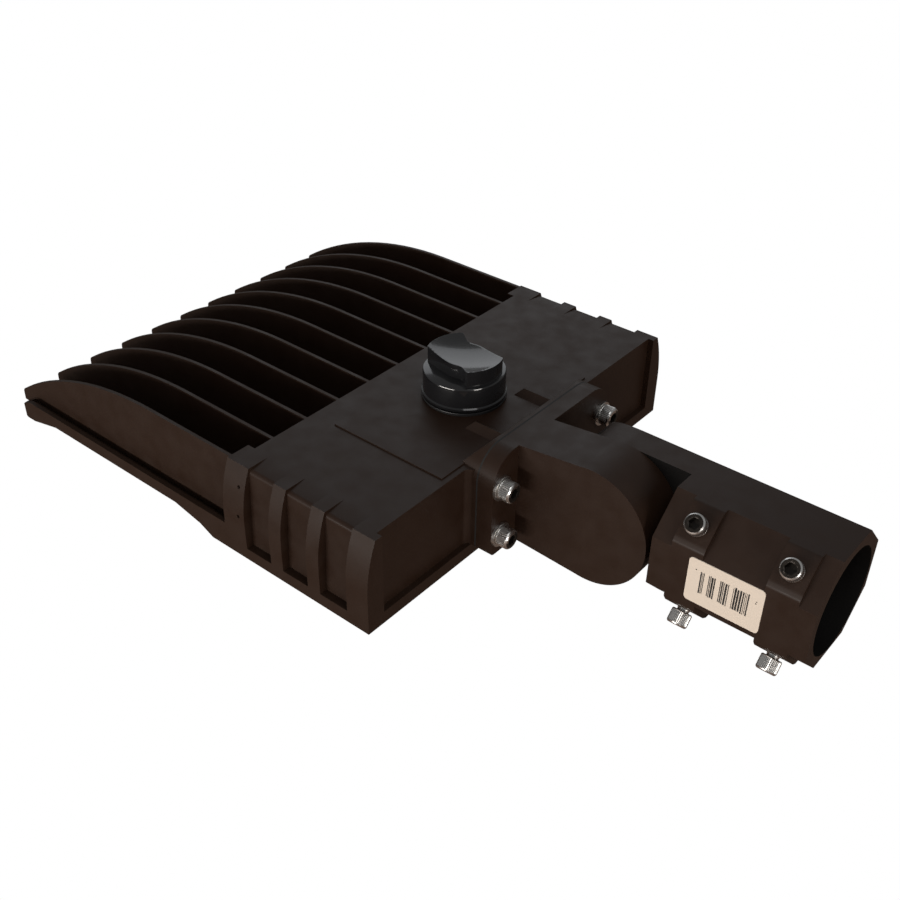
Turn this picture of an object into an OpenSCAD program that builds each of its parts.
// Shoebox area light: a finned die-cast head on a tilting slip fitter for a pole tenon.
// Origin: centre of the tenon socket's mouth. +X leaves the mouth towards the pole, +Z is up.

/* [Pole socket] */
// Radius of the bore that slips over a 60.3 mm tenon
tenon_bore_r = 30.6; // [30.3:0.1:31.2]
// Depth of the tenon bore
socket_depth = 84; // [70:1:88]
// Barrel length from its mouth to its front face
barrel_len = 96; // [92:0.5:100]
// From the barrel's axis to its near and upper flats
barrel_flat = 38; // [37.5:0.1:39]
// From the axis to the far flat
far_flat = 35.7; // [35.5:0.1:38]
// From the axis to the lower flat
low_flat = 34; // [33.5:0.1:38]
// From the axis to the upper far corner facet
far_facet = 39; // [38.7:0.1:41.5]
// From the axis to the lower far corner facet
low_facet = 34.6; // [34.4:0.1:38]
// From the axis to the near corner facets, between the bosses
near_facet = 38.5; // [37.5:0.1:39.5]
// From the axis to the faces of the screw bosses
boss_facet = 41.8; // [41:0.1:42.2]
// Length of a screw boss along the barrel
boss_len = 19; // [16:0.5:24]
// Radius that softens the barrel's long edges, measured from the axis
edge_reach = 42.6; // [42:0.1:43.2]

/* [Clamp screws] */
// From the mouth to the rear pair of clamp screws
rear_screw_x = 19.5; // [16:0.5:26]
// From the mouth to the front pair of clamp screws
front_screw_x = 74.5; // [60:0.5:78]
// Radius of the M8 clamp screw
clamp_screw_r = 4; // [3:0.1:4.5]
// Radius of the clamp screw's head
clamp_head_r = 6; // [6:0.1:8]
// Height of the clamp screw's head
clamp_head_h = 7; // [5:0.5:9]
// Gap left under the head of an upper clamp screw
clamp_gap = 1.5; // [1.5:0.1:2.5]
// Gap left under the head of a lower clamp screw
low_clamp_gap = 3.2; // [1.5:0.1:4]
// Size of a clamp or flange screw's hexagon socket, as a share of the thread
hex_share = 0.9; // [0.7:0.02:0.94]
// Gap between the screw's tip and the bore at rest
clamp_tip_gap = 0.2; // [0.1:0.1:1]
// Radial clearance of a screw that turns in its thread
thread_clearance = 0.05; // [0.02:0.01:0.1]

/* [Knuckle] */
// From the barrel's mouth to the tilt pivot
mouth_to_pivot = 138.5; // [137:0.5:142]
// Radius of the arm's rounded end about the pivot
tongue_r = 39; // [36:0.5:40]
// Near side face of the arm's tongue, from the centre plane
tongue_near = 36; // [33:0.5:38]
// Plane where the tongue meets the cheek, from the centre plane
cheek_plane = 1.5; // [0:0.5:4]
// Radius of the cheek's rounded end about the pivot
cheek_r = 38; // [34:0.5:38]
// Radius of the M12 pivot bolt
pivot_bolt_r = 6; // [5:0.5:7]
// Width across the flats of the pivot bolt's head
pivot_head_af = 19; // [17:1:21]
// Height of the pivot bolt's head
pivot_head_h = 7.5; // [6:0.5:9]
// Width of the pivot washer around its bolt
pivot_washer_w = 6; // [4:0.5:6.4]
// Thickness of the pivot washer
pivot_washer_t = 2.5; // [1.5:0.1:3]
// Length of pivot bolt held in the tongue
pivot_grip = 15; // [10:0.5:18]
// Radius of the wire way through the tongue
wire_way_r = 5.5; // [4:0.5:6]
// Distance of the wire way from the centre plane
wire_way_y = 26; // [24:0.5:27]

/* [Arm flange] */
// From the pivot to the flange's outer face
pivot_to_flange = 50.25; // [48:0.25:52]
// Thickness of the flange
flange_t = 11.25; // [9:0.25:11.75]
// Half of the flange's width
flange_half = 59.5; // [58:0.5:62]
// Height of the flange above the pivot
flange_up = 33.2; // [31:0.1:36]
// Depth of the flange below the pivot
flange_down = 36.3; // [33:0.1:38]
// Radius of the flange's upper corners
flange_top_r = 20; // [10:1:22]
// Radius of the flange's lower corners
flange_low_r = 4; // [2:0.5:8]
// Thickness of the flange gasket
arm_gasket_t = 1; // [0.8:0.1:1.5]
// Half of the distance between the flange bolts
flange_bolt_y = 51.5; // [50:0.5:52]
// Height of the upper flange bolts from the pivot
flange_bolt_up = 11.6; // [8:0.2:13]
// Depth of the lower flange bolts from the pivot
flange_bolt_down = 22.8; // [18:0.2:26]
// Radius of the M8 flange bolts
flange_bolt_r = 4; // [3:0.1:4.2]
// Radial clearance of a bolt in its plain hole
bolt_clearance = 0.4; // [0.2:0.1:0.8]
// Length of a flange bolt under its head
flange_bolt_len = 28; // [22:1:30]
// Radius of a flange bolt's head
flange_head_r = 6.5; // [6:0.1:7]
// Height of a flange bolt's head
flange_head_h = 8; // [6:0.5:9]
// Radius of a flange bolt's washer
washer_r = 8; // [7:0.5:8.5]
// Thickness of a flange bolt's washer
washer_t = 1.6; // [1:0.1:2]

/* [Housing] */
// From the pivot to the rear rim of the head
pivot_to_rear = 65; // [63:0.5:70]
// Height of the head's top face above the pivot
top_up = 21.2; // [19:0.1:23]
// Length of the head from its rear rim to the fin tips
head_len = 338; // [325:1:350]
// Length of the driver box, from the rear rim to the fins
box_len = 111.4; // [108:0.2:114]
// Full width of the head over its rim
head_w = 300; // [296:1:306]
// Full height of the head at the driver box
head_h = 63.3; // [61:0.1:66]
// How far the foot of the side walls lies inside the rim
side_inset = 4.8; // [4.5:0.1:6]
// How far the side walls lean in from their foot to the top
side_lean = 3; // [1:0.5:4]
// Width of the strip along each side of the top that slopes down
edge_slope_w = 15; // [10:1:18]
// Drop of the sloped strip
edge_slope_drop = 1.4; // [0.8:0.1:2]
// How far the rear wall lies inside the rim
rear_inset = 4; // [3:0.5:5]
// Height of the rim band
rim_h = 8.3; // [7:0.1:9]
// Width of the rim band
rim_t = 5; // [4:0.5:6]
// Thickness of the box's walls and top
wall_t = 4; // [3:0.5:4.5]
// Radius of the box's upper side edges
shoulder_r = 3; // [2:0.5:4]
// Radius of the long curve over a side rib's upper part
rib_curve_r = 90; // [80:5:110]
// Height of that curve
rib_curve_h = 36; // [32:1:38]
// From the centre plane to the raised panel's near side
panel_near = 78; // [72:0.5:80]
// From the centre plane to the panel's far side
panel_far = 66; // [62:0.5:80]
// Height of the raised panel
panel_h = 0.8; // [0.4:0.1:1.2]
// From the rear rim to the panel's front edge
panel_front = 93; // [88:0.5:98]
// From the rear rim to the panel's rear edge
panel_rear = 8; // [6:0.5:9]

// Width of the rear posts' inner flats behind the wall
post_w = 13; // [9:0.5:16]
// Radius of the hollow's upper edges
bay_edge_r = 6; // [3:0.5:8]
// Width of the ledge between the hollow and the rear wall
rear_ledge = 4.5; // [4:0.1:5]
// From the door's hinge axis back to the hollow's front wall
hinge_ledge = 9; // [8.5:0.1:10]
// From the hinge axis to the front of the door's recess
hinge_recess = 4.5; // [4:0.1:5]
// Thickness of the wall between that recess and the cored pockets
core_wall = 5; // [4:0.5:6]
// Number of cored pockets in the slope in front of the driver box
core_count = 4; // [3:1:4]
// Distance between the cored pockets
core_pitch = 70; // [66:1:72]
// Width of a cored pocket
core_w = 60; // [50:1:62]
// Length of a cored pocket
core_len = 30; // [24:1:31]
// Radius of the casting bosses that take the flange bolts
flange_boss_r = 8; // [7:0.5:9]
// Length of those bosses inside the rear wall
flange_boss_len = 7.5; // [5:0.5:8]
// From the rear rim to the drain dots
dot_x = 104; // [101:0.5:110]
// Radius of a drain dot
dot_r = 1.2; // [0.8:0.1:1.6]
// Depth of a drain dot
dot_depth = 2; // [1:0.1:2.4]

/* [Neck] */
// Slope length of the neck's top behind the head
neck_ramp = 10.5; // [8:0.5:14]
// Radius of the fillet between the neck and the rear wall
neck_fillet = 4; // [2:0.5:4]
// From the centre plane to the inner foot of a neck ridge
gusset_in = 18; // [16:0.5:20]
// From the centre plane to the outer foot of a neck ridge
gusset_out = 31; // [28:0.5:33]
// Length of a neck ridge in front of the rear rim
gusset_len = 31; // [26:0.5:32]
// Height of a neck ridge
gusset_h = 4.6; // [3:0.2:6]

/* [Fins] */
// Number of fins, with the two side walls counted
fin_count = 11; // [9:1:12]
// How far the middles of the outer fins lie inside the rim
fin_inset = 10; // [9:0.5:11]
// Thickness of a fin at its top
fin_top_t = 2.2; // [1.8:0.1:2.6]
// Thickness of a fin at its root
fin_root_t = 4; // [3:0.1:4.6]
// Depth of the gap floors below the head's top face
floor_drop = 42.5; // [41:0.1:43]
// Length of the fins' level top, from the box
fin_flat = 78.6; // [70:0.2:86]
// Radius of the curve that the fins' tops follow
fin_curve_r = 266; // [260:1:290]
// Radius of a fin's tip
fin_tip_r = 4; // [3:0.5:5]
// How far the fin tips pass the front lip
fin_proud = 4; // [3:0.5:5]
// Depth of the fin tips below the head's top face
fin_tip_drop = 53; // [50:0.5:54]
// Thickness of the floor plate that carries the light engine
floor_t = 4.5; // [4:0.1:5]

/* [Front skirt] */
// Depth of the skirt's lower edge below the head's top face
skirt_drop = 53.2; // [52.8:0.1:54]
// Depth of the front lip below the head's top face
nose_drop = 59; // [57:0.5:61]
// Depth of the front lip's top edge below the head's top face
nose_top_drop = 52.7; // [50:0.1:52.9]
// Length of the slope from the gap floors down to that edge
nose_top_slope = 18.5; // [16:0.5:19]
// Length of the front lip's level underside
nose_len = 17; // [14:0.5:18]
// Length of the slope behind the front lip
nose_slope = 26; // [20:0.5:30]
// Length of the slope in front of the driver box
box_slope = 34; // [30:0.5:38]
// Length of that slope's steeper end
box_slope_end = 11; // [8:0.5:14]
// Drop before that steeper end, as a share of the front lip's drop
box_slope_share = 0.85; // [0.7:0.05:1]
// How far the deep part of the box reaches under the fins
box_reach = 19.6; // [18:0.2:21]
// Plan radius of the front corners
plan_r = 10; // [8:0.5:12]
// Thickness of the lip along the skirt's sides
lip_t = 3; // [2:0.5:4]
// Depth of the groove inside that lip
lip_groove = 7.4; // [4:0.1:7.4]
// How far that lip lies below the gap floors
lip_drop = 2; // [0.5:0.1:3]
// From the box to the end of the groove
lip_groove_gap = 6; // [4:0.5:10]

/* [Light engine] */
// From the rear rim to the light engine's centre
engine_x = 246.5; // [245:0.5:248]
// Half length of the lens seat
seat_half_x = 77; // [76:0.5:77.5]
// Half width of the lens seat
seat_half_y = 138; // [137:0.5:139]
// Depth of the lens seat above the skirt's edge
seat_rise = 3.2; // [2.8:0.1:3.6]
// Width of the screw band around the lens
screw_band = 6.5; // [6.5:0.1:7]
// Gap between the lens frame and its seat
frame_gap = 0.5; // [0.3:0.1:0.8]
// Thickness of the lens frame over the lens
frame_t = 2; // [1.5:0.1:2.5]
// Width of the lens edge that the frame covers
frame_cover = 5.5; // [4:0.1:6]
// Thickness of the lens plate
lens_t = 3; // [2.5:0.1:3.2]
// Gap around the lens plate in its frame
lens_gap = 0.5; // [0.3:0.1:0.6]
// Thickness of the lens gasket
lens_gasket_t = 1.2; // [1.1:0.1:1.4]
// Width of the lens gasket
lens_gasket_w = 5; // [4:0.1:5.5]
// Thickness of the heat pad behind the light board
pad_t = 0.4; // [0.3:0.1:0.6]
// Thickness of the light board
board_t = 1.6; // [1.2:0.1:2]
// Gap around the light board in its pocket
board_gap = 2; // [1:0.5:4]
// Number of lenses along the head
lens_rows = 4; // [3:1:4]
// Number of lenses across the head
lens_cols = 6; // [4:1:6]
// Distance between lenses along the head
lens_pitch_x = 28; // [25:1:29]
// Distance between lenses across the head
lens_pitch_y = 38; // [30:1:38]
// Radius of a lens at its root
lens_root_r = 9; // [7:0.5:10]
// Radius of a lens at its crown
lens_crown_r = 5.5; // [4:0.5:6]
// Height of a lens
lens_h = 3.5; // [2:0.5:4]
// Width of a light-emitting package
led_w = 5; // [3:0.5:6]
// Height of a light-emitting package
led_h = 0.8; // [0.5:0.1:1]
// Radius of the M3.5 lens frame screws
frame_screw_r = 1.75; // [1.5:0.05:2]
// Radius of a lens frame screw's head
frame_head_r = 3; // [2.6:0.1:3]
// Height of a small screw's head
small_head_h = 2; // [1.5:0.1:2.4]
// How far the lens frame screws lie inside the middle of their band
frame_screw_shift = 0.4; // [0.2:0.1:0.4]
// Width of the seat inside the lens gasket
seat_land = 2; // [1:0.5:2]
// Distance of the board screws from the board's edges
board_screw_inset = 5; // [4:0.5:6]
// Radius of the M3 board screws
board_screw_r = 1.5; // [1.2:0.1:1.6]
// Radius of a board screw's head
board_head_r = 2.7; // [2.2:0.1:3]
// Height of a board screw's head
board_head_h = 1.4; // [1:0.1:1.6]
// Length of thread that a small screw has in the casting
small_thread = 3; // [2:0.1:3.4]

/* [Driver door] */
// From the rear rim's outer face to the door's hinge axis
hinge_from_rear = 123; // [122:0.2:124]
// Thickness of the door
door_t = 3; // [2.5:0.1:3.2]
// How far the door lies inside the rim's lower edge
door_sunk = 0.5; // [0.3:0.1:1]
// Gap between the door and the rim
door_gap = 1; // [0.8:0.1:1.5]
// From the hinge axis to the door's front edge
door_setback = 4; // [4:0.1:4.5]
// Thickness of the door gasket
door_gasket_t = 1.8; // [1.5:0.1:2]
// Width of the door gasket
door_gasket_w = 4; // [3:0.1:4]
// Radius of a hinge pin
hinge_pin_r = 1.5; // [1:0.1:1.6]
// Radial clearance of a hinge pin in the door
hinge_clearance = 0.05; // [0.02:0.01:0.1]
// Radius of the door's hinge barrels
hinge_barrel_r = 2.6; // [2.4:0.1:2.8]
// Distance of the hinges from the centre plane
hinge_y = 80; // [60:1:100]
// Width of a hinge barrel on the door
hinge_barrel_w = 24; // [16:1:30]
// Width of a hinge ear on the housing
hinge_ear_w = 5; // [4:0.5:7]
// Side gap between a hinge barrel and its ears
hinge_side_gap = 0.3; // [0.2:0.1:0.6]
// Distance of the door screws from the centre plane
door_screw_y = 110; // [90:1:112]
// From the rear rim to the door screws
door_screw_x = 20; // [19:0.5:22]
// Radius of the M4 door screws
door_screw_r = 2; // [1.5:0.1:2.2]
// Radial clearance of a door screw in the housing
door_screw_clearance = 0.4; // [0.4:0.05:0.6]
// Reach of a door screw into the housing
door_screw_reach = 4.3; // [3:0.1:5]
// Radius of a door screw's head
door_head_r = 4.5; // [4:0.5:6]
// Height of a door screw's head
door_head_h = 2.6; // [2:0.1:3]

// Radius that a door screw's boss has more than the other bosses
door_boss_extra = 1; // [0.6:0.1:2]
// Height of the door screws' bosses
door_boss_h = 16; // [12:0.5:18]
// Thickness of the web behind a door screw's boss
door_web_t = 6; // [4:0.5:8]
// Half width of a hinge ear along the head
hinge_ear_half = 3; // [2.8:0.1:3.4]
// Height of the hinge ears above the rim's lower edge
hinge_ear_rise = 0.2; // [0:0.1:0.4]
// Distance between the door's stiffening ribs
door_rib_pitch = 60; // [50:1:64]
// Thickness of a door rib
door_rib_t = 3; // [2:0.5:4]
// Height of a door rib above the door
door_rib_h = 2.5; // [1.5:0.1:3]
// From the door's edges to the ends of its ribs
door_rib_inset = 12; // [10:0.5:16]
// From the driver box's front to the vent plug
vent_from_box = 30; // [24:1:40]
// Distance of the vent plug from the centre plane
vent_y = 85; // [76:1:92]
// Radius of the vent plug
vent_r = 6; // [4:0.5:7]
// Width of the vent plug's rim
vent_rim_w = 2.5; // [1.5:0.5:3]
// Height of the vent plug's rim
vent_rim_h = 2.5; // [1.5:0.5:3]
// Reach of the vent plug above the door
vent_reach = 4; // [2:0.5:5]
// From the door's front edge to its gasket
door_gasket_front = 0.5; // [0.3:0.1:0.8]
// From the door's rear edge to its gasket
door_gasket_rear = 1; // [0.6:0.1:1.4]
// How far the door gasket reaches past the hollow's side walls
door_gasket_side = 5; // [4.5:0.1:5.2]
// Width of the slot in a door screw's head
door_slot_w = 1; // [0.6:0.1:1.4]
// Depth of that slot
door_slot_h = 1.2; // [0.8:0.1:1.6]

/* [Driver and wiring] */
// Length of the driver's case across the head
driver_len = 220; // [180:1:224]
// Width of the driver's case along the head
driver_w = 62; // [50:1:66]
// Height of the driver's case
driver_h = 34; // [28:1:36]
// From the rear rim to the driver's centre
driver_x = 65.5; // [64:0.5:66]
// Depth of the driver's top below the head's top face
driver_drop = 19.2; // [18.5:0.1:22]
// Length of the driver's mounting tabs
tab_len = 10; // [9:0.5:10]
// Thickness of the driver's mounting tabs
tab_t = 1.5; // [1:0.1:2]
// Radius of the M4 driver screws
driver_screw_r = 2; // [1.5:0.1:2.2]
// Radius of a driver screw's head
driver_head_r = 3.6; // [3:0.1:4]
// Radius of a casting boss that takes a small screw
boss_r = 5; // [4.5:0.1:6]
// Radius of a wire with its insulation
wire_r = 0.9; // [0.6:0.1:1]
// Distance of the light board's wires from the centre plane
lead_y = 70; // [70:0.5:70.5]
// Distance between those two wires
lead_pitch = 2.2; // [2.1:0.1:2.4]
// Height of those wires above the light engine's ceiling
lead_rise = 0.6; // [0.4:0.1:0.8]
// Length of those wires on the board
lead_land = 9; // [6:0.5:10]
// Radius of the wire hole between box and light engine
lead_hole_r = 2.4; // [2.2:0.1:2.6]

// From the hollow's front wall to the ground screw
ground_x = 10; // [8:0.5:14]
// Place of the ground screw across the head
ground_y = -60; // [-80:1:-40]
// Height of the ground screw's boss
ground_boss_h = 5; // [4:0.5:6]
// Length of the ground screw
ground_screw_len = 6; // [5:0.5:7]
// Radius of the ground screw's head
ground_head_r = 4.4; // [4:0.1:5]
// Height of the ground screw's head
ground_head_h = 2.5; // [2:0.1:3]
// Reach of a driver screw into its boss
driver_screw_reach = 8; // [6:0.5:9]
// From the driver case's long sides to its tabs
tab_inset = 4; // [2:0.5:8]
// From the driver case's ends to the steps around its lids
lid_inset = 10; // [8:0.5:16]
// Width of those steps
lid_step_w = 2; // [1:0.5:3]
// Depth of those steps
lid_step_h = 0.8; // [0.4:0.1:1.2]
// Width of the surge protector's block across the head
surge_w = 44; // [36:1:48]
// Height of the surge protector's block
surge_h = 26; // [20:1:28]
// Thickness of the surge protector's block
surge_t = 14; // [11:0.5:15]
// Place of the surge protector across the head
surge_y = 16; // [12:1:20]
// Radius of the surge protector's indicator
surge_lamp_r = 5; // [3:0.5:7]
// Height of that indicator
surge_lamp_h = 3; // [2:0.5:4]
// Number of terminals
terminal_count = 3; // [2:1:4]
// Distance between terminals
terminal_pitch = 11; // [9:0.5:11]
// Height of the terminal block
terminal_h = 20; // [16:0.5:22]
// Thickness of the terminal block
terminal_t = 15; // [12:0.5:16]
// Place of the terminal block across the head
terminal_y = -85; // [-88:1:-80]
// Radius of a terminal's screw hole
terminal_hole_r = 3; // [2:0.1:3.4]
// Radius of a terminal's wire hole
terminal_wire_r = 2.2; // [1.4:0.1:2.6]
// Depth of a terminal's holes
terminal_hole_h = 4; // [3:0.5:5]

/* [Light sensor socket] */
// From the rear rim to the sensor socket's axis
socket_x = 55.2; // [52:0.2:58]
// Radius of the socket's flange
socket_r = 27; // [26:0.5:29]
// Thickness of the socket's flange
socket_flange_t = 1.4; // [1.2:0.1:2]
// Thickness of the gasket under the socket's flange
socket_gasket_t = 0.8; // [0.6:0.1:1.2]
// Radius of the socket's body in the housing
socket_body_r = 20.2; // [19:0.1:21]
// Depth of the socket's body below its flange
socket_body_h = 15; // [13:0.5:15.5]
// Radial clearance of the socket's body in the housing
socket_clearance = 0.08; // [0.03:0.01:0.1]
// Radius of the circle that the blades stand on
blade_circle_r = 12.5; // [11:0.1:14]
// Thickness of a blade
blade_t = 1.6; // [1.2:0.1:1.8]
// Width of a blade
blade_w = 8; // [6:0.5:9]
// Reach of a blade into the socket
blade_reach = 11; // [8:0.5:11]
// Gap on each side of a blade in its contact
blade_gap = 0.05; // [0.03:0.01:0.1]
// Thickness of a contact's leaf
leaf_t = 0.6; // [0.4:0.1:0.8]
// Radius of the shorting cap's body
cap_r = 25.5; // [24:0.1:26]
// Radius of the shorting cap's ring
cap_ring_r = 27; // [26.5:0.1:28]
// Radius of the shorting cap's top
cap_top_r = 22.3; // [20:0.1:23]
// Height of the cap's body under its ring
cap_body_h = 14; // [12:0.5:16]
// Height of the cap's ring
cap_ring_h = 2.2; // [1.5:0.1:3]
// Height of the cap's top above its ring
cap_top_h = 11; // [8:0.5:13]
// Thickness of the cap's wall
cap_wall = 2.5; // [2:0.1:3]
// Thickness of the seal under the cap
cap_seal_t = 0.8; // [0.6:0.1:1.2]
// From the cap's axis to the two flats of its finger grip
grip_flat = 14.3; // [11:0.1:18]
// Turn of the finger grip's first flat about the cap's axis
grip_turn = -102; // [-180:1:180]

// How far the socket's gasket lies inside its flange
socket_gasket_inset = 0.6; // [0.3:0.1:1]
// Gap between the socket's gasket and the socket's body
socket_gasket_gap = 0.5; // [0.3:0.1:0.8]
// Width of the ring that holds the socket under the top wall
ring_w = 5; // [4:0.5:7]
// Thickness of that ring
ring_t = 3; // [2:0.1:3.4]
// Gap between that ring and the top wall
ring_gap = 0.3; // [0.2:0.05:0.5]
// Room at the ends of a blade in its slot
slot_spare = 1; // [0.6:0.1:1.4]
// Depth of the contacts below the socket's face
contact_drop = 2; // [1:0.5:3]
// Radius of the post inside the cap
post_r = 8; // [6:0.5:9]
// Height of that post's lower end above the cap's edge
post_rise = 6; // [6:0.1:7]
// Thickness of the cap's top over its hollow
cap_roof_t = 4; // [3:0.5:5]
// Height of the blades' plate above the cap's edge
plate_rise = 4.4; // [4.3:0.1:4.4]
// Thickness of the blades' plate
plate_t = 1.6; // [1:0.1:1.6]
// Width of the blades' plate outside their circle
plate_w = 4; // [3:0.5:5]
// Radius of the hole in the blades' plate
plate_hole_r = 3; // [2:0.5:4]
// How far the cap's seal lies inside the cap's body
cap_seal_inset = 0.4; // [0.2:0.1:0.8]

/* [Label] */
// Length of the label along the barrel
label_len = 44.6; // [36:0.2:46]
// Height of the label
label_h = 29.6; // [24:0.2:30]
// Thickness of the label
label_t = 0.4; // [0.2:0.1:0.6]
// From the mouth to the label's centre
label_x = 50; // [48:0.5:52]
// Height of the label's centre above the axis
label_z = 1.5; // [0:0.1:1.6]
// Corner radius of the label
label_r = 2.5; // [1:0.5:4]

/* [Hidden] */
$fn = 64;
// How far a cut passes through the face it opens
eps = 1;
// How much deeper a blind screw hole is than its screw
hole_spare = 2;

// Finishes
cast_bronze = [0.20, 0.18, 0.17];
cast_grey = [0.42, 0.42, 0.43];
stainless = [0.75, 0.75, 0.76];
black_plastic = [0.08, 0.08, 0.08];
black_rubber = [0.12, 0.12, 0.12];
clear_lens = [0.80, 0.88, 0.92, 0.5];
white_mask = [0.92, 0.92, 0.90];
led_yellow = [0.95, 0.85, 0.35];
brass = [0.80, 0.65, 0.30];
pad_grey = [0.60, 0.62, 0.66];
label_white = [0.93, 0.93, 0.91];
wire_red = [0.70, 0.10, 0.08];
ground_green = [0.15, 0.50, 0.25];
grey_plastic = [0.55, 0.56, 0.57];

// Stations along the head
pivot_x = -mouth_to_pivot;
flange_x = pivot_x - pivot_to_flange;
flange_back_x = flange_x - flange_t;
neck_x = flange_back_x - arm_gasket_t;
rear_x = pivot_x - pivot_to_rear;
wall_x = rear_x - rear_inset;
box_x = rear_x - box_len;
tip_x = rear_x - head_len;
nose_x = tip_x + fin_proud;
engine_cx = rear_x - engine_x;
flat_end_x = box_x - fin_flat;
cap_x = rear_x - socket_x;
hinge_x = rear_x - hinge_from_rear;

// Levels
top_z = top_up;
rim_z = top_z - head_h;
floor_z = top_z - floor_drop;
ceiling_z = floor_z - floor_t;
skirt_z = top_z - skirt_drop;
nose_z = top_z - nose_drop;
nose_top_z = top_z - nose_top_drop;
rib_bend_z = top_z - rib_curve_h;
seat_z = skirt_z + seat_rise;
lens_top_z = seat_z - lens_gasket_t;
lens_low_z = lens_top_z - lens_t;
frame_low_z = lens_low_z - frame_t;
board_z = ceiling_z - pad_t;
board_low_z = board_z - board_t;
door_low_z = rim_z + door_sunk;
door_top_z = door_low_z + door_t;
ledge_z = door_top_z + door_gasket_t;
hinge_z = (door_low_z + door_top_z) / 2;
panel_z = top_z + panel_h;
fin_centre_z = top_z - fin_curve_r;

// Half widths
rim_half = head_w / 2;
wall_half = rim_half - side_inset;
wall_top_half = wall_half - side_lean;
crease_half = wall_top_half - edge_slope_w;
cavity_half = wall_top_half - wall_t;
recess_half = rim_half - rim_t;
fin_half = rim_half - fin_inset;
fin_pitch = 2 * fin_half / (fin_count - 1);

// Side ribs, as distances from the rear rim to their rear and front faces
side_ribs = [[0, 16.4], [37.6, 47.5], [68, 78], [99, 117]];
// Angles of the wall and of the strip, and the middle of the round edge between them
lean_angle = atan(side_lean / (head_h - edge_slope_drop));
slope_angle = atan(edge_slope_drop / edge_slope_w);
edge_reach_r = shoulder_r / (1 + sin(lean_angle + slope_angle));
edge_mid = [
    wall_top_half - edge_reach_r * (cos(lean_angle) + sin(slope_angle)),
    top_z - edge_slope_drop - edge_reach_r * (sin(lean_angle) + cos(slope_angle))
];
// Heights of the drain dots in the front rib, as depths below the head's top face
dot_drops = [13, 33];

// Places of the flange bolts, as sideways and height pairs
flange_bolts = [
    for (y = [-flange_bolt_y, flange_bolt_y], z = [-flange_bolt_down, flange_bolt_up]) [y, z]
];
// Clamp screws are at 45 degrees on the near side
clamp_angle = 45;
clamp_tip = tenon_bore_r + clamp_tip_gap;
pivot_washer_r = pivot_bolt_r + pivot_washer_w;

// Block from three spans
module block(xs, ys, zs) {
    translate([xs[0], ys[0], zs[0]])
        cube([xs[1] - xs[0], ys[1] - ys[0], zs[1] - zs[0]]);
}

// Round bar along X
module rod_x(xs, y, z, r) {
    translate([xs[0], y, z])
        rotate([0, 90, 0])
            cylinder(h = xs[1] - xs[0], r = r);
}

// Round bar along Y
module rod_y(ys, x, z, r) {
    translate([x, ys[1], z])
        rotate([90, 0, 0])
            cylinder(h = ys[1] - ys[0], r = r);
}

// Round bar along Z
module rod_z(zs, x, y, r) {
    translate([x, y, zs[0]])
        cylinder(h = zs[1] - zs[0], r = r);
}

// Side view profile, given as X and Z pairs, drawn over a span of Y
module side_plate(points, ys) {
    translate([0, ys[1], 0])
        rotate([90, 0, 0])
            linear_extrude(height = ys[1] - ys[0])
                polygon(points);
}

// Rectangular ring seen from below
module frame_ring(cx, half_x, half_y, width, zs) {
    difference() {
        block([cx - half_x, cx + half_x], [-half_y, half_y], zs);
        block(
            [cx - half_x + width, cx + half_x - width],
            [-half_y + width, half_y - width],
            [zs[0] - eps, zs[1] + eps]
        );
    }
}

// ---------------------------------------------------------------- slip fitter

// Frame of a clamp screw: local +Z runs from the barrel's axis out through the screw
module on_facet(x, up) {
    translate([x, 0, 0])
        rotate([up ? clamp_angle : 180 - clamp_angle, 0, 0])
            children();
}

// Barrel section: flats all round, deep facets on the near side
module barrel_form(xs) {
    reach = 2 * edge_reach;
    intersection() {
        block(xs, [-barrel_flat, far_flat], [-low_flat, barrel_flat]);
        rod_x(xs, 0, 0, edge_reach);
        rotate([clamp_angle, 0, 0])
            block(xs, [-reach, reach], [-low_facet, near_facet]);
        rotate([-clamp_angle, 0, 0])
            block(xs, [-reach, reach], [-near_facet, far_facet]);
    }
}

module clamp_boss(x, up) {
    intersection() {
        on_facet(x, up)
            translate([-boss_len / 2, -boss_facet, tenon_bore_r])
                cube([boss_len, 2 * boss_facet, boss_facet - tenon_bore_r]);
        block([x - boss_len, x + boss_len], [-barrel_flat, 0], [-barrel_flat, barrel_flat]);
        rod_x([x - boss_len, x + boss_len], 0, 0, edge_reach);
    }
}

// Cheek: one side of the barrel carried forward around the pivot
module cheek() {
    intersection() {
        barrel_form([pivot_x - cheek_r, -barrel_len + eps]);
        union() {
            rod_y([-cheek_plane, barrel_flat], pivot_x, 0, cheek_r);
            block([pivot_x, -barrel_len + eps], [-cheek_plane, barrel_flat],
                [-barrel_flat, barrel_flat]);
        }
    }
}

module slip_fitter() {
    color(cast_bronze)
        difference() {
            union() {
                barrel_form([-barrel_len, 0]);
                cheek();
                for (x = [-rear_screw_x, -front_screw_x], up = [true, false])
                    clamp_boss(x, up);
            }
            rod_x([-socket_depth, eps], 0, 0, tenon_bore_r);
            rod_x([-barrel_len - eps, -socket_depth + eps], -wire_way_y / 2, 0, 2 * wire_way_r);
            for (x = [-rear_screw_x, -front_screw_x], up = [true, false])
                on_facet(x, up)
                    cylinder(h = boss_facet + eps, r = clamp_screw_r + thread_clearance);
            rod_y([-cheek_plane - eps, barrel_flat + eps], pivot_x, 0,
                pivot_bolt_r + thread_clearance);
        }
}

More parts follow.
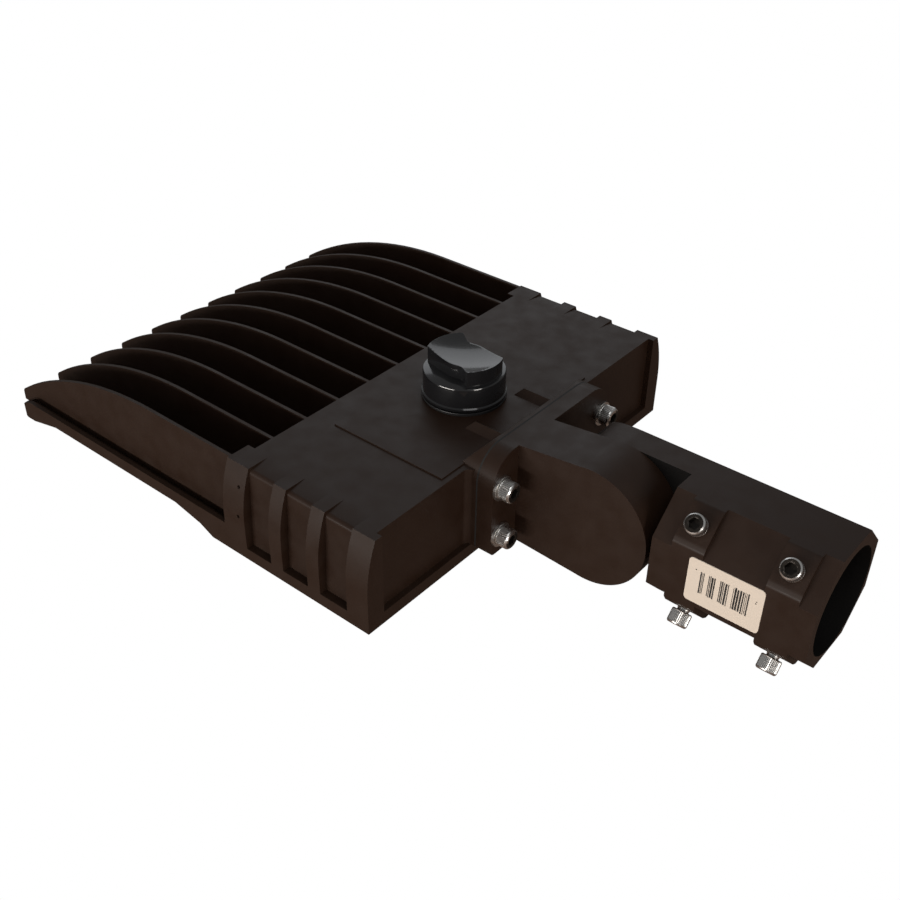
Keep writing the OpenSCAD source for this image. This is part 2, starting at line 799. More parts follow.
module set_screw(x, up) {
    hex_r = clamp_screw_r * hex_share;
    socket_h = clamp_head_h / 2;
    clamp_head_low = boss_facet + (up ? clamp_gap : low_clamp_gap);
    color(stainless)
        on_facet(x, up)
            difference() {
                union() {
                    translate([0, 0, clamp_tip])
                        cylinder(h = clamp_head_low - clamp_tip, r = clamp_screw_r);
                    translate([0, 0, clamp_head_low])
                        cylinder(h = clamp_head_h, r = clamp_head_r);
                }
                translate([0, 0, clamp_head_low + clamp_head_h - socket_h])
                    cylinder(h = socket_h + eps, r = hex_r, $fn = 6);
            }
}

module upper_front_set_screw() {
    set_screw(-front_screw_x, true);
}

module upper_rear_set_screw() {
    set_screw(-rear_screw_x, true);
}

module lower_front_set_screw() {
    set_screw(-front_screw_x, false);
}

module lower_rear_set_screw() {
    set_screw(-rear_screw_x, false);
}

module barcode_label() {
    ys = [-barrel_flat - label_t, -barrel_flat];
    xs = [-label_x - label_len / 2, -label_x + label_len / 2];
    zs = [label_z - label_h / 2, label_z + label_h / 2];
    color(label_white)
        union() {
            block([xs[0] + label_r, xs[1] - label_r], ys, zs);
            block(xs, ys, [zs[0] + label_r, zs[1] - label_r]);
            for (x = [xs[0] + label_r, xs[1] - label_r], z = [zs[0] + label_r, zs[1] - label_r])
                rod_y(ys, x, z, label_r);
        }
}

// ---------------------------------------------------------------- knuckle

// Outline of the arm flange and of the neck behind it
module flange_form(xs) {
    low_z = -flange_down;
    top_mid = flange_up - flange_top_r;
    union() {
        block(xs, [-flange_half + flange_top_r, flange_half - flange_top_r], [low_z, flange_up]);
        block(xs, [-flange_half, flange_half], [low_z + flange_low_r, top_mid]);
        block(xs, [-flange_half + flange_low_r, flange_half - flange_low_r], [low_z, top_mid]);
        for (side = [-1, 1]) {
            rod_x(xs, side * (flange_half - flange_top_r), top_mid, flange_top_r);
            rod_x(xs, side * (flange_half - flange_low_r), low_z + flange_low_r, flange_low_r);
        }
    }
}

module knuckle_arm() {
    tongue = [-tongue_near, -cheek_plane];
    color(cast_bronze)
        difference() {
            union() {
                flange_form([flange_back_x, flange_x]);
                rod_y(tongue, pivot_x, 0, tongue_r);
                side_plate(
                    [
                        [flange_x - eps, flange_up],
                        [pivot_x, tongue_r],
                        [pivot_x, -tongue_r],
                        [flange_x - eps, -flange_down]
                    ],
                    tongue
                );
            }
            for (bolt = flange_bolts)
                rod_x([flange_back_x - eps, flange_x + eps], bolt[0], bolt[1],
                    flange_bolt_r + bolt_clearance);
            rod_y([-cheek_plane - pivot_grip, -cheek_plane + eps], pivot_x, 0, pivot_bolt_r);
            rod_x([flange_back_x - eps, pivot_x + tongue_r + eps], -wire_way_y, 0, wire_way_r);
        }
}

module arm_gasket() {
    color(black_rubber)
        difference() {
            flange_form([neck_x, flange_back_x]);
            for (bolt = flange_bolts)
                rod_x([neck_x - eps, flange_back_x + eps], bolt[0], bolt[1],
                    flange_bolt_r + bolt_clearance);
            rod_x([neck_x - eps, flange_back_x + eps], -wire_way_y, 0, 2 * wire_way_r);
        }
}

module arm_bolts() {
    seat_x = flange_x + washer_t;
    hex_r = flange_bolt_r * hex_share;
    socket_h = flange_head_h / 2;
    color(stainless)
        for (bolt = flange_bolts)
            difference() {
                union() {
                    rod_x([seat_x - flange_bolt_len, seat_x], bolt[0], bolt[1], flange_bolt_r);
                    rod_x([seat_x, seat_x + flange_head_h], bolt[0], bolt[1], flange_head_r);
                }
                translate([seat_x + flange_head_h - socket_h, bolt[0], bolt[1]])
                    rotate([0, 90, 0])
                        cylinder(h = socket_h + eps, r = hex_r, $fn = 6);
            }
}

module arm_washers() {
    color(stainless)
        for (bolt = flange_bolts)
            difference() {
                rod_x([flange_x, flange_x + washer_t], bolt[0], bolt[1], washer_r);
                rod_x([flange_x - eps, flange_x + washer_t + eps], bolt[0], bolt[1],
                    flange_bolt_r + bolt_clearance);
            }
}

module pivot_bolt() {
    seat_y = far_flat + pivot_washer_t;
    color(stainless)
        union() {
            rod_y([-cheek_plane - pivot_grip, seat_y], pivot_x, 0, pivot_bolt_r);
            translate([pivot_x, seat_y + pivot_head_h, 0])
                rotate([90, 0, 0])
                    cylinder(h = pivot_head_h, r = pivot_head_af / sqrt(3), $fn = 6);
        }
}

module pivot_washer() {
    ys = [far_flat, far_flat + pivot_washer_t];
    color(stainless)
        difference() {
            rod_y(ys, pivot_x, 0, pivot_washer_r);
            rod_y([ys[0] - eps, ys[1] + eps], pivot_x, 0, pivot_bolt_r + thread_clearance);
        }
}

// ---------------------------------------------------------------- housing shell

// Box section with rounded shoulders, over a span of X
module shoulder_form(xs, half, zs, r) {
    union() {
        block(xs, [-half + r, half - r], zs);
        block(xs, [-half, half], [zs[0], zs[1] - r]);
        for (side = [-1, 1])
            rod_x(xs, side * (half - r), zs[1] - r, r);
    }
}

// Outer section of the box: leaning walls, round edges and a top with sloped side strips
module box_form(xs) {
    wall_touch = edge_mid + shoulder_r * [cos(lean_angle), sin(lean_angle)];
    strip_touch = edge_mid + shoulder_r * [sin(slope_angle), cos(slope_angle)];
    half_section = [
        [crease_half, top_z],
        strip_touch,
        edge_mid,
        wall_touch,
        [wall_half, rim_z]
    ];
    union() {
        block(xs, [-crease_half, crease_half], [rim_z, top_z]);
        for (side = [-1, 1])
            scale([1, side, 1]) {
                translate([xs[0], 0, 0])
                    rotate([90, 0, 90])
                        linear_extrude(height = xs[1] - xs[0])
                            polygon(concat([[crease_half - eps, rim_z],
                                [crease_half - eps, top_z]], half_section));
                rod_x(xs, edge_mid[0], edge_mid[1], shoulder_r);
            }
    }
}

// Side rib: straight below, then one long curve that meets the box's upper edge
module side_rib(xs) {
    for (side = [-1, 1])
        scale([1, side, 1])
            union() {
                block(xs, [crease_half - eps, rim_half], [rim_z, rib_bend_z]);
                intersection() {
                    block(xs, [crease_half - eps, rim_half], [rib_bend_z - eps, top_z]);
                    rod_x(xs, rim_half - rib_curve_r, rib_bend_z, rib_curve_r);
                }
            }
}

module box_shell() {
    union() {
        box_form([box_x, wall_x]);
        block([box_x, rear_x], [-rim_half, rim_half], [rim_z, rim_z + rim_h]);
        for (rib = side_ribs)
            side_rib([rear_x - rib[1], min(rear_x - rib[0], wall_x)]);
        // Corner posts that stand out of the rear wall
        difference() {
            side_rib([wall_x - eps, rear_x]);
            block([wall_x - 2 * eps, rear_x + eps], [-rim_half + post_w, rim_half - post_w],
                [rim_z - eps, top_z + eps]);
        }
    }
}

// Raised panel on the box's top
module top_panel() {
    block([rear_x - panel_front, rear_x - panel_rear], [-panel_near, panel_far],
        [top_z - eps, panel_z]);
}

// Side view of the fin stack: level, then a long curve, then a small tip radius
module fin_profile() {
    low_z = top_z - fin_tip_drop;
    half = fin_half + fin_root_t;
    run = flat_end_x - tip_x;
    tip_cx = tip_x + fin_tip_r;
    tip_cz = fin_centre_z + sqrt(pow(fin_curve_r - fin_tip_r, 2) - pow(run - fin_tip_r, 2));
    tangent_x = flat_end_x - fin_curve_r * (run - fin_tip_r) / (fin_curve_r - fin_tip_r);
    difference() {
        union() {
            block([flat_end_x - eps, box_x + eps], [-half, half],
                [floor_z - lip_groove - eps, top_z]);
            intersection() {
                rod_y([-half, half], flat_end_x, fin_centre_z, fin_curve_r, $fn = 180);
                union() {
                    block([nose_x, flat_end_x], [-half, half], [floor_z - lip_groove - eps, top_z]);
                    block([tip_x, nose_x + nose_top_slope], [-half, half], [low_z, top_z]);
                }
            }
        }
        difference() {
            block([tip_x - eps, tangent_x], [-half - eps, half + eps], [tip_cz, top_z]);
            rod_y([-half - 2 * eps, half + 2 * eps], tip_cx, tip_cz, fin_tip_r);
        }
    }
}

module fins() {
    low_z = top_z - fin_tip_drop;
    root = fin_root_t / 2;
    crown = fin_top_t / 2;
    intersection() {
        fin_profile();
        for (i = [0:fin_count - 1])
            translate([tip_x - eps, -fin_half + i * fin_pitch, 0])
                rotate([90, 0, 90])
                    linear_extrude(height = box_x - tip_x + 2 * eps)
                        polygon([[-root, low_z], [root, low_z], [crown, top_z], [-crown, top_z]]);
    }
}

// Front skirt: floor plate, front lip and the slope down to the driver box
module skirt() {
    slope_x = box_x - box_reach;
    step_x = slope_x - box_slope;
    nose_end_x = nose_x + nose_len;
    low_step = (nose_z - skirt_z) * box_slope_share;
    intersection() {
        side_plate(
            [
                [nose_x + nose_top_slope, floor_z],
                [nose_x, nose_top_z],
                [nose_x, nose_z],
                [nose_end_x, nose_z],
                [nose_end_x + nose_slope, skirt_z],
                [step_x, skirt_z],
                [slope_x - box_slope_end, skirt_z + low_step],
                [slope_x, rim_z],
                [box_x + eps, rim_z],
                [box_x + eps, floor_z]
            ],
            [-rim_half, rim_half]
        );
        union() {
            block([nose_x + plan_r, box_x + eps], [-rim_half, rim_half],
                [rim_z - eps, floor_z + eps]);
            block([nose_x, nose_x + 2 * plan_r], [-rim_half + plan_r, rim_half - plan_r],
                [rim_z - eps, floor_z + eps]);
            for (side = [-1, 1])
                rod_z([rim_z - eps, floor_z + eps], nose_x + plan_r,
                    side * (rim_half - plan_r), plan_r);
        }
    }
}

// Neck that carries the arm, with its sloped top, fillets and two gussets
module neck() {
    deep_x = wall_x - wall_t;
    ramp_x = rear_x - neck_ramp;
    union() {
        intersection() {
            flange_form([ramp_x - eps, neck_x]);
            side_plate(
                [
                    [ramp_x, top_z - wall_t],
                    [ramp_x, top_z],
                    [rear_x, flange_up],
                    [neck_x, flange_up],
                    [neck_x, -flange_down],
                    [deep_x, -flange_down],
                    [deep_x, top_z - wall_t]
                ],
                [-flange_half, flange_half]
            );
        }
        for (side = [-1, 1])
            scale([1, side, 1]) {
                difference() {
                    block([wall_x - eps, wall_x + neck_fillet],
                        [flange_half - neck_fillet, flange_half + neck_fillet],
                        [-flange_down, top_z]);
                    rod_z([-flange_down - eps, top_z + eps], wall_x + neck_fillet,
                        flange_half + neck_fillet, neck_fillet);
                }
                // Ridge with a roof section and a sloped front end
                intersection() {
                    translate([rear_x - gusset_len, 0, 0])
                        rotate([90, 0, 90])
                            linear_extrude(height = gusset_len)
                                polygon([
                                    [gusset_in, top_z - eps],
                                    [gusset_in, top_z],
                                    [(gusset_in + gusset_out) / 2, top_z + gusset_h],
                                    [gusset_out, top_z],
                                    [gusset_out, top_z - eps]
                                ]);
                    side_plate(
                        [
                            [rear_x - gusset_len - eps, top_z - 2 * eps],
                            [rear_x - gusset_len - eps, top_z - eps],
                            [rear_x - gusset_len + gusset_h, top_z + gusset_h],
                            [rear_x + eps, top_z + gusset_h + eps],
                            [rear_x + eps, top_z - 2 * eps]
                        ],
                        [gusset_in - eps, gusset_out + eps]
                    );
                }
            }
    }
}

// ---------------------------------------------------------------- housing hollows

well_front_x = hinge_x + hinge_ledge;
well_rear_x = wall_x - wall_t - rear_ledge;
recess_front_x = hinge_x - hinge_recess;
recess_rear_x = rear_x - rim_t;
core_front_x = recess_front_x - core_wall;
// How far the hollow's upper part runs down into its lower part
bay_overlap = 4;

// Hollow that holds the driver, open to the door
module driver_hollow() {
    shoulder_form([box_x + wall_t, wall_x - wall_t], cavity_half,
        [ceiling_z - bay_overlap, top_z - wall_t], bay_edge_r);
    block([well_front_x, well_rear_x], [-cavity_half, cavity_half], [rim_z - eps, ceiling_z]);
    block([recess_front_x, recess_rear_x], [-recess_half, recess_half], [rim_z - eps, ledge_z]);
}

// Pocket for the light engine, with a seat around it for the lens
module engine_hollow() {
    band = screw_band + lens_gap + lens_gasket_w + seat_land;
    block(
        [engine_cx - seat_half_x, engine_cx + seat_half_x],
        [-seat_half_y, seat_half_y],
        [nose_z - eps, seat_z]
    );
    block(
        [engine_cx - seat_half_x + band, engine_cx + seat_half_x - band],
        [-seat_half_y + band, seat_half_y - band],
        [nose_z - eps, ceiling_z]
    );
}

// Cored pockets in the slope between the light engine and the box
module slope_cores() {
    for (i = [0:core_count - 1]) {
        y = (i - (core_count - 1) / 2) * core_pitch;
        block([core_front_x - core_len, core_front_x], [y - core_w / 2, y + core_w / 2],
            [rim_z - eps, ceiling_z]);
    }
}

// Lowered side lips, and the grooves between them and the outer fins
module lip_grooves() {
    for (side = [-1, 1])
        scale([1, side, 1]) {
            block([nose_x + plan_r, box_x - lip_groove_gap], [fin_half, rim_half - lip_t],
                [floor_z - lip_groove, floor_z + eps]);
            block([nose_x - eps, box_x - lip_groove_gap], [fin_half, rim_half + eps],
                [floor_z - lip_drop, floor_z + eps]);
        }
}

// ---------------------------------------------------------------- screws and bosses

frame_screw_inset = screw_band / 2 + frame_screw_shift;
frame_screw_x = seat_half_x - frame_screw_inset;
frame_screw_y = seat_half_y - frame_screw_inset;
frame_screws_long = [-60, -20, 20, 60];
frame_screws_short = [-100, -50, 0, 50, 100];
frame_screws = concat(
    [for (x = frame_screws_long, side = [-1, 1]) [engine_cx + x, side * frame_screw_y]],
    [for (y = frame_screws_short, side = [-1, 1]) [engine_cx + side * frame_screw_x, y]]
);

board_inset = screw_band + lens_gap + lens_gasket_w + seat_land + board_gap;
board_half_x = seat_half_x - board_inset;
board_half_y = seat_half_y - board_inset;
board_hole_x = board_half_x - board_screw_inset;
board_hole_y = board_half_y - board_screw_inset;
board_screws_at = [
    for (x = [-board_hole_x, board_hole_x], y = [-board_hole_y, 0, board_hole_y])
        [engine_cx + x, y]
];

driver_cx = rear_x - driver_x;
driver_top_z = top_z - driver_drop;
driver_screws_at = [
    for (x = [-driver_w / 4, driver_w / 4], side = [-1, 1])
        [driver_cx + x, side * (driver_len + tab_len) / 2]
];

door_screws_at = [for (side = [-1, 1]) [rear_x - door_screw_x, side * door_screw_y]];

// Way of the light board's wires: its level and where it turns down to the board
lead_way_z = ceiling_z + lead_rise;
lead_bend_x = engine_cx + board_half_x + board_gap / 2;

ground_cx = box_x + wall_t + ground_x;
ground_z = top_z - wall_t - ground_boss_h;
flange_boss_x = wall_x - wall_t - flange_boss_len;
door_boss_r = boss_r + door_boss_extra;

module housing_bosses() {
    deep_x = wall_x - wall_t;
    for (at = driver_screws_at)
        rod_z([driver_top_z, top_z - wall_t + eps], at[0], at[1], boss_r);
    for (bolt = flange_bolts)
        rod_x([flange_boss_x, deep_x + eps], bolt[0], bolt[1], flange_boss_r);
    for (at = door_screws_at) {
        rod_z([ledge_z, ledge_z + door_boss_h], at[0], at[1], door_boss_r);
        block([at[0], deep_x + eps], [at[1] - door_web_t / 2, at[1] + door_web_t / 2],
            [ledge_z, ledge_z + door_boss_h]);
    }
    rod_z([ground_z, top_z - wall_t + eps], ground_cx, ground_y, boss_r);
}

module hinge_ears() {
    gap = hinge_barrel_w / 2 + hinge_side_gap;
    for (side = [-1, 1], edge = [-gap - hinge_ear_w, gap])
        difference() {
            block([hinge_x - hinge_ear_half, hinge_x + hinge_ear_half],
                [side * hinge_y + edge, side * hinge_y + edge + hinge_ear_w],
                [rim_z + hinge_ear_rise, ledge_z + eps]);
            rod_y([side * hinge_y + edge - eps, side * hinge_y + edge + hinge_ear_w + eps],
                hinge_x, hinge_z, hinge_pin_r);
        }
}

module housing_holes() {
    for (bolt = flange_bolts)
        rod_x([flange_x + washer_t - flange_bolt_len, neck_x + eps], bolt[0], bolt[1],
            flange_bolt_r);
    rod_x([wall_x - wall_t - eps, neck_x + eps], -wire_way_y, 0, 2 * wire_way_r);
    for (at = frame_screws)
        rod_z([seat_z - eps, seat_z + small_thread], at[0], at[1], frame_screw_r);
    for (at = board_screws_at)
        rod_z([ceiling_z - eps, ceiling_z + small_thread], at[0], at[1], board_screw_r);
    for (at = driver_screws_at)
        rod_z([driver_top_z - eps, driver_top_z + driver_screw_reach + hole_spare],
            at[0], at[1], driver_screw_r);
    for (at = door_screws_at)
        rod_z([ledge_z - eps, ledge_z + door_screw_reach + hole_spare], at[0], at[1],
            door_screw_r + door_screw_clearance);
    rod_z([top_z - wall_t - 2 * eps, panel_z + eps], cap_x, 0, socket_body_r + socket_clearance);
    rod_z([ground_z - eps, ground_z + ground_screw_len], ground_cx, ground_y, driver_screw_r);
    for (drop = dot_drops, side = [-1, 1]) {
        rise = max(rib_curve_h - drop, 0);
        face = rim_half - rib_curve_r + sqrt(pow(rib_curve_r, 2) - pow(rise, 2));
        scale([1, side, 1])
            rod_y([face - dot_depth, rim_half + eps], rear_x - dot_x, top_z - drop, dot_r);
    }
    rod_x([lead_bend_x - lead_hole_r, box_x + wall_t + eps], lead_y, lead_way_z, lead_hole_r);
}

module housing() {
    color(cast_bronze)
        difference() {
            union() {
                difference() {
                    union() {
                        box_shell();
                        top_panel();
                        difference() {
                            skirt();
                            lip_grooves();
                        }
                        fins();
                        neck();
                    }
                    driver_hollow();
                    engine_hollow();
                    slope_cores();
                }
                housing_bosses();
                hinge_ears();
            }
            housing_holes();
        }
}

// ---------------------------------------------------------------- light engine

module lens_frame() {
    half_x = seat_half_x - frame_gap;
    half_y = seat_half_y - frame_gap;
    band = screw_band - frame_gap;
    cover = band + lens_gap + frame_cover;
    color(cast_bronze)
        difference() {
            union() {
                frame_ring(engine_cx, half_x, half_y, band, [lens_low_z - eps, seat_z]);
                frame_ring(engine_cx, half_x, half_y, cover, [frame_low_z, lens_low_z]);
            }
            for (at = frame_screws)
                rod_z([frame_low_z - eps, seat_z + eps], at[0], at[1], frame_screw_r);
        }
}

module lens_gasket() {
    inset = screw_band + lens_gap;
    color(black_rubber)
        frame_ring(engine_cx, seat_half_x - inset, seat_half_y - inset, lens_gasket_w,
            [lens_top_z, seat_z]);
}

// Children at each lens of the grid
module at_lenses() {
    for (i = [0:lens_rows - 1], j = [0:lens_cols - 1])
        translate([
            engine_cx + (i - (lens_rows - 1) / 2) * lens_pitch_x,
            (j - (lens_cols - 1) / 2) * lens_pitch_y,
            0
        ])
            children();
}

module lens_plate() {
    inset = screw_band + lens_gap;
    half_x = seat_half_x - inset;
    half_y = seat_half_y - inset;
    color(clear_lens)
        union() {
            block([engine_cx - half_x, engine_cx + half_x], [-half_y, half_y],
                [lens_low_z, lens_top_z]);
            at_lenses()
                translate([0, 0, lens_low_z - lens_h])
                    cylinder(h = lens_h + eps, r1 = lens_crown_r, r2 = lens_root_r, $fn = 32);
        }
}

module lens_screws() {
    color(stainless)
        for (at = frame_screws)
            union() {
                rod_z([frame_low_z, seat_z + small_thread], at[0], at[1], frame_screw_r);
                rod_z([frame_low_z - small_head_h, frame_low_z], at[0], at[1], frame_head_r);
            }
}

module thermal_pad() {
    color(pad_grey)
        difference() {
            block([engine_cx - board_half_x, engine_cx + board_half_x],
                [-board_half_y, board_half_y], [board_z, ceiling_z]);
            for (at = board_screws_at)
                rod_z([board_z - eps, ceiling_z + eps], at[0], at[1], board_screw_r + bolt_clearance);
        }
}

module led_board() {
    color(white_mask)
        difference() {
            block([engine_cx - board_half_x, engine_cx + board_half_x],
                [-board_half_y, board_half_y], [board_low_z, board_z]);
            for (at = board_screws_at)
                rod_z([board_low_z - eps, board_z + eps], at[0], at[1],
                    board_screw_r + bolt_clearance);
        }
}

module leds() {
    color(led_yellow)
        at_lenses()
            translate([-led_w / 2, -led_w / 2, board_low_z - led_h])
                cube([led_w, led_w, led_h]);
}

module board_screws() {
    color(stainless)
        for (at = board_screws_at)
            union() {
                rod_z([board_low_z, ceiling_z + small_thread], at[0], at[1], board_screw_r);
                rod_z([board_low_z - board_head_h, board_low_z], at[0], at[1], board_head_r);
            }
}

// ---------------------------------------------------------------- driver door

door_front_x = hinge_x + door_setback;
door_rear_x = recess_rear_x - door_gap;
door_half = recess_half - door_gap;
vent_x = box_x + vent_from_box;

module driver_door() {
    color(cast_bronze)
        difference() {
            union() {
                block([door_front_x, door_rear_x], [-door_half, door_half],
                    [door_low_z, door_top_z]);
                for (side = [-1, 1]) {
                    ys = [side * hinge_y - hinge_barrel_w / 2, side * hinge_y + hinge_barrel_w / 2];
                    rod_y(ys, hinge_x, hinge_z, hinge_barrel_r);
                    block([hinge_x, door_front_x + eps], ys, [door_low_z, door_top_z]);
                }
                // Stiffening ribs inside the door
                for (y = [-door_rib_pitch, 0, door_rib_pitch])
                    block([door_front_x + door_rib_inset, door_rear_x - door_rib_inset],
                        [y - door_rib_t / 2, y + door_rib_t / 2],
                        [door_low_z, door_top_z + door_rib_h]);
            }
            for (side = [-1, 1])
                rod_y([side * hinge_y - hinge_barrel_w, side * hinge_y + hinge_barrel_w],
                    hinge_x, hinge_z, hinge_pin_r + hinge_clearance);
            for (at = door_screws_at)
                rod_z([door_low_z - eps, door_top_z + eps], at[0], at[1], door_screw_r);
            rod_z([door_low_z - eps, door_top_z + eps], vent_x, vent_y, vent_r);
        }
}

module door_gasket() {
    front_x = door_front_x + door_gasket_front;
    rear_gx = door_rear_x - door_gasket_rear;
    color(black_rubber)
        frame_ring((front_x + rear_gx) / 2, (rear_gx - front_x) / 2,
            cavity_half + door_gasket_side, door_gasket_w, [door_top_z, ledge_z]);
}

module door_hinge_pins() {
    reach = hinge_barrel_w / 2 + hinge_side_gap + hinge_ear_w;
    color(stainless)
        for (side = [-1, 1])
            rod_y([side * hinge_y - reach, side * hinge_y + reach], hinge_x, hinge_z, hinge_pin_r);
}

module door_screws() {
    color(stainless)
        for (at = door_screws_at)
            difference() {
                union() {
                    rod_z([door_low_z, ledge_z + door_screw_reach], at[0], at[1], door_screw_r);
                    rod_z([door_low_z - door_head_h, door_low_z], at[0], at[1], door_head_r);
                }
                block([at[0] - door_head_r, at[0] + door_head_r],
                    [at[1] - door_slot_w / 2, at[1] + door_slot_w / 2],
                    [door_low_z - door_head_h - eps, door_low_z - door_head_h + door_slot_h]);
            }
}

module vent_plug() {
    color(black_plastic)
        union() {
            rod_z([door_low_z, door_top_z + vent_reach], vent_x, vent_y, vent_r);
            rod_z([door_low_z - vent_rim_h, door_low_z], vent_x, vent_y, vent_r + vent_rim_w);
        }
}

// ---------------------------------------------------------------- driver and wiring

module led_driver() {
    half = driver_len / 2;
    xs = [driver_cx - driver_w / 2, driver_cx + driver_w / 2];
    color(cast_grey)
        difference() {
            union() {
                block(xs, [-half, half], [driver_top_z - driver_h, driver_top_z]);
                for (side = [-1, 1])
                    scale([1, side, 1])
                        block([xs[0] + tab_inset, xs[1] - tab_inset], [half - eps, half + tab_len],
                            [driver_top_z - tab_t, driver_top_z]);
            }
            for (at = driver_screws_at)
                rod_z([driver_top_z - tab_t - eps, driver_top_z + eps], at[0], at[1],
                    driver_screw_r + bolt_clearance);
            // Shallow steps around the case's potting lids
            for (side = [-1, 1])
                scale([1, side, 1])
                    block([xs[0] + tab_inset, xs[1] - tab_inset],
                        [half - lid_inset - lid_step_w, half - lid_inset],
                        [driver_top_z - driver_h - eps, driver_top_z - driver_h + lid_step_h]);
        }
}

module driver_screws() {
    low_z = driver_top_z - tab_t;
    color(stainless)
        for (at = driver_screws_at)
            union() {
                rod_z([low_z, driver_top_z + driver_screw_reach], at[0], at[1], driver_screw_r);
                rod_z([low_z - small_head_h, low_z], at[0], at[1], driver_head_r);
            }
}

module surge_protector() {
    deep_x = wall_x - wall_t;
    color(black_plastic)
        union() {
            block([deep_x - surge_t, deep_x], [surge_y - surge_w / 2, surge_y + surge_w / 2],
                [-surge_h / 2, surge_h / 2]);
            rod_x([deep_x - surge_t - surge_lamp_h, deep_x - surge_t + eps], surge_y, 0,
                surge_lamp_r);
        }
}

module terminal_block() {
    deep_x = wall_x - wall_t;
    half = terminal_count * terminal_pitch / 2;
    half_h = terminal_h / 2;
    front_x = deep_x - terminal_t;
    color(grey_plastic)
        difference() {
            block([front_x, deep_x], [terminal_y - half, terminal_y + half], [-half_h, half_h]);
            for (i = [0:terminal_count - 1]) {
                y = terminal_y + (i - (terminal_count - 1) / 2) * terminal_pitch;
                rod_x([front_x - eps, front_x + terminal_hole_h], y, half_h / 2, terminal_hole_r);
                rod_z([-half_h - eps, -half_h + terminal_hole_h], deep_x - terminal_t / 2, y,
                    terminal_wire_r);
            }
        }
}

module ground_screw() {
    color(ground_green)
        union() {
            rod_z([ground_z, ground_z + ground_screw_len], ground_cx, ground_y, driver_screw_r);
            rod_z([ground_z - ground_head_h, ground_z], ground_cx, ground_y, ground_head_r);
        }
}

// Two wires from the driver's case through the casting to the light board
module led_lead() {
    board_x = lead_bend_x - lead_land;
    low_z = board_low_z - wire_r;
    case_x = driver_cx - driver_w / 2;
    color(wire_red)
        for (k = [-1, 1]) {
            y = lead_y + k * lead_pitch / 2;
            union() {
                rod_x([lead_bend_x, case_x], y, lead_way_z, wire_r);
                translate([lead_bend_x, y, lead_way_z])
                    sphere(r = wire_r, $fn = 24);
                rod_z([low_z, lead_way_z], lead_bend_x, y, wire_r);
                translate([lead_bend_x, y, low_z])
                    sphere(r = wire_r, $fn = 24);
                rod_x([board_x, lead_bend_x], y, low_z, wire_r);
            }
        }
}

// ---------------------------------------------------------------- light sensor socket

gasket_top_z = panel_z + socket_gasket_t;
socket_top_z = gasket_top_z + socket_flange_t;
socket_low_z = gasket_top_z - socket_body_h;
cap_low_z = socket_top_z + cap_seal_t;
cap_ring_z = cap_low_z + cap_body_h;
cap_step_z = cap_ring_z + cap_ring_h;
cap_top_z = cap_step_z + cap_top_h;
blade_angles = [0, 120, 240];
slot_w = blade_w + slot_spare;
slot_t = blade_t + 2 * (blade_gap + leaf_t);
ring_z = top_z - wall_t - ring_t - ring_gap;

module receptacle_gasket() {
    color(black_rubber)
        difference() {
            rod_z([panel_z, gasket_top_z], cap_x, 0, socket_r - socket_gasket_inset);
            rod_z([panel_z - eps, gasket_top_z + eps], cap_x, 0,
                socket_body_r + socket_gasket_gap);
        }
}

// Children at each blade, local +X running outwards
module at_blades() {
    translate([cap_x, 0, 0])
        for (a = blade_angles)
            rotate([0, 0, a])
                translate([blade_circle_r, 0, 0])
                    children();
}

module photocell_receptacle() {
    slot_z = socket_top_z - blade_reach - slot_spare;
    color(black_plastic)
        difference() {
            union() {
                rod_z([gasket_top_z, socket_top_z], cap_x, 0, socket_r);
                rod_z([socket_low_z, gasket_top_z + eps / 2], cap_x, 0, socket_body_r);
            }
            at_blades()
                translate([-slot_t / 2, -slot_w / 2, slot_z])
                    cube([slot_t, slot_w, blade_reach + slot_spare + eps]);
        }
}

module receptacle_ring() {
    color(grey_plastic)
        difference() {
            rod_z([ring_z, ring_z + ring_t], cap_x, 0, socket_body_r + ring_w);
            rod_z([ring_z - eps, ring_z + ring_t + eps], cap_x, 0, socket_body_r);
        }
}

module receptacle_contacts() {
    low_z = socket_top_z - blade_reach - slot_spare;
    top = socket_top_z - contact_drop;
    inner = blade_t / 2 + blade_gap;
    color(brass)
        at_blades()
            difference() {
                translate([-slot_t / 2, -slot_w / 2, low_z])
                    cube([slot_t, slot_w, top - low_z]);
                translate([-inner, -slot_w, low_z + leaf_t])
                    cube([2 * inner, 2 * slot_w, top]);
            }
}

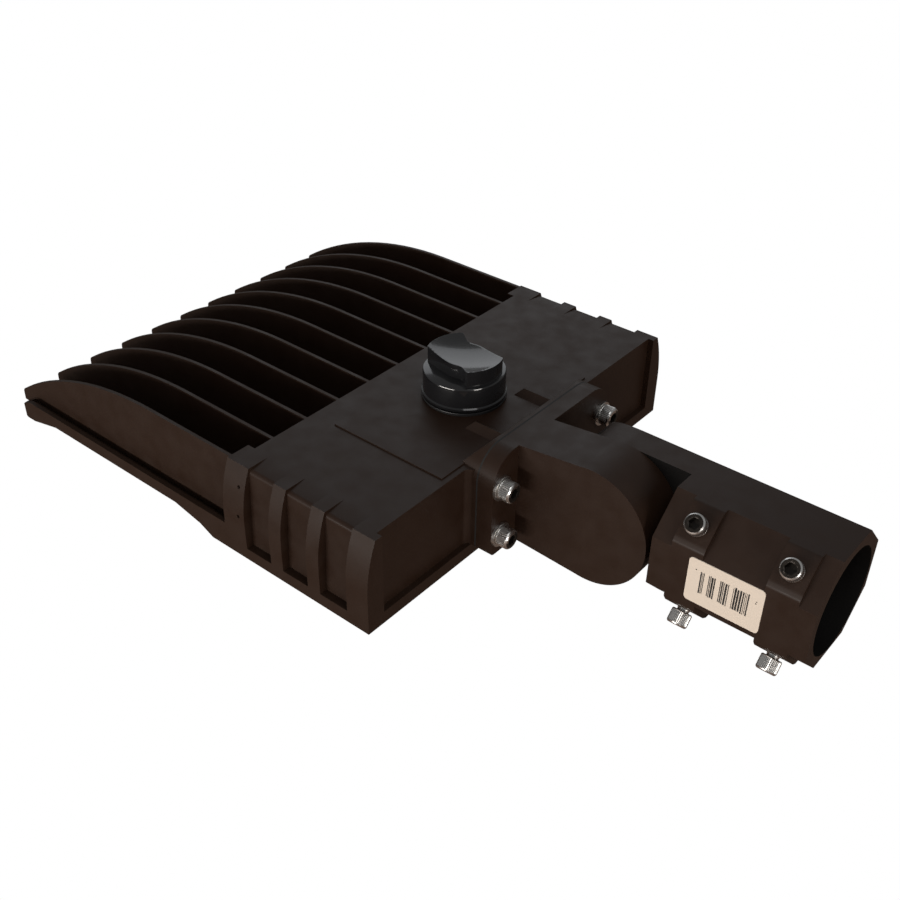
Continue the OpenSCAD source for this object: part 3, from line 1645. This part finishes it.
module shorting_cap() {
    hollow_z = cap_top_z - cap_roof_t;
    color(black_plastic)
        difference() {
            union() {
                rod_z([cap_low_z, cap_ring_z + eps / 2], cap_x, 0, cap_r);
                rod_z([cap_ring_z, cap_step_z], cap_x, 0, cap_ring_r);
                rod_z([cap_step_z - eps / 2, cap_top_z], cap_x, 0, cap_top_r);
            }
            difference() {
                rod_z([cap_low_z - eps, cap_ring_z], cap_x, 0, cap_r - cap_wall);
                rod_z([cap_low_z + post_rise, hollow_z], cap_x, 0, post_r);
            }
            // Two flats of the finger grip, one half turn apart
            for (turn = [0, 180])
                translate([cap_x, 0, cap_step_z])
                    rotate([0, 0, grip_turn + turn])
                        translate([grip_flat, -cap_top_r, 0])
                            cube([cap_top_r, 2 * cap_top_r, cap_top_h + eps]);
        }
}

module shorting_blades() {
    plate_z = cap_low_z + plate_rise;
    color(brass)
        union() {
            difference() {
                rod_z([plate_z, plate_z + plate_t], cap_x, 0, blade_circle_r + plate_w);
                rod_z([plate_z - eps, plate_z + plate_t + eps], cap_x, 0, plate_hole_r);
            }
            at_blades()
                translate([-blade_t / 2, -blade_w / 2, socket_top_z - blade_reach])
                    cube([blade_t, blade_w, plate_z + plate_t / 2 - socket_top_z + blade_reach]);
        }
}

module cap_seal() {
    color(black_rubber)
        difference() {
            rod_z([socket_top_z, cap_low_z], cap_x, 0, cap_r - cap_seal_inset);
            rod_z([socket_top_z - eps, cap_low_z + eps], cap_x, 0, cap_r - cap_wall);
        }
}

// ---------------------------------------------------------------- drawing

housing();
lens_frame();
lens_gasket();
lens_plate();
lens_screws();
led_board();
leds();
thermal_pad();
board_screws();
driver_door();
door_gasket();
door_hinge_pins();
door_screws();
vent_plug();
led_driver();
driver_screws();
surge_protector();
terminal_block();
ground_screw();
led_lead();
photocell_receptacle();
receptacle_gasket();
receptacle_ring();
receptacle_contacts();
shorting_cap();
shorting_blades();
cap_seal();
knuckle_arm();
arm_gasket();
arm_bolts();
arm_washers();
pivot_bolt();
pivot_washer();
slip_fitter();
barcode_label();
upper_front_set_screw();
upper_rear_set_screw();
lower_front_set_screw();
lower_rear_set_screw();
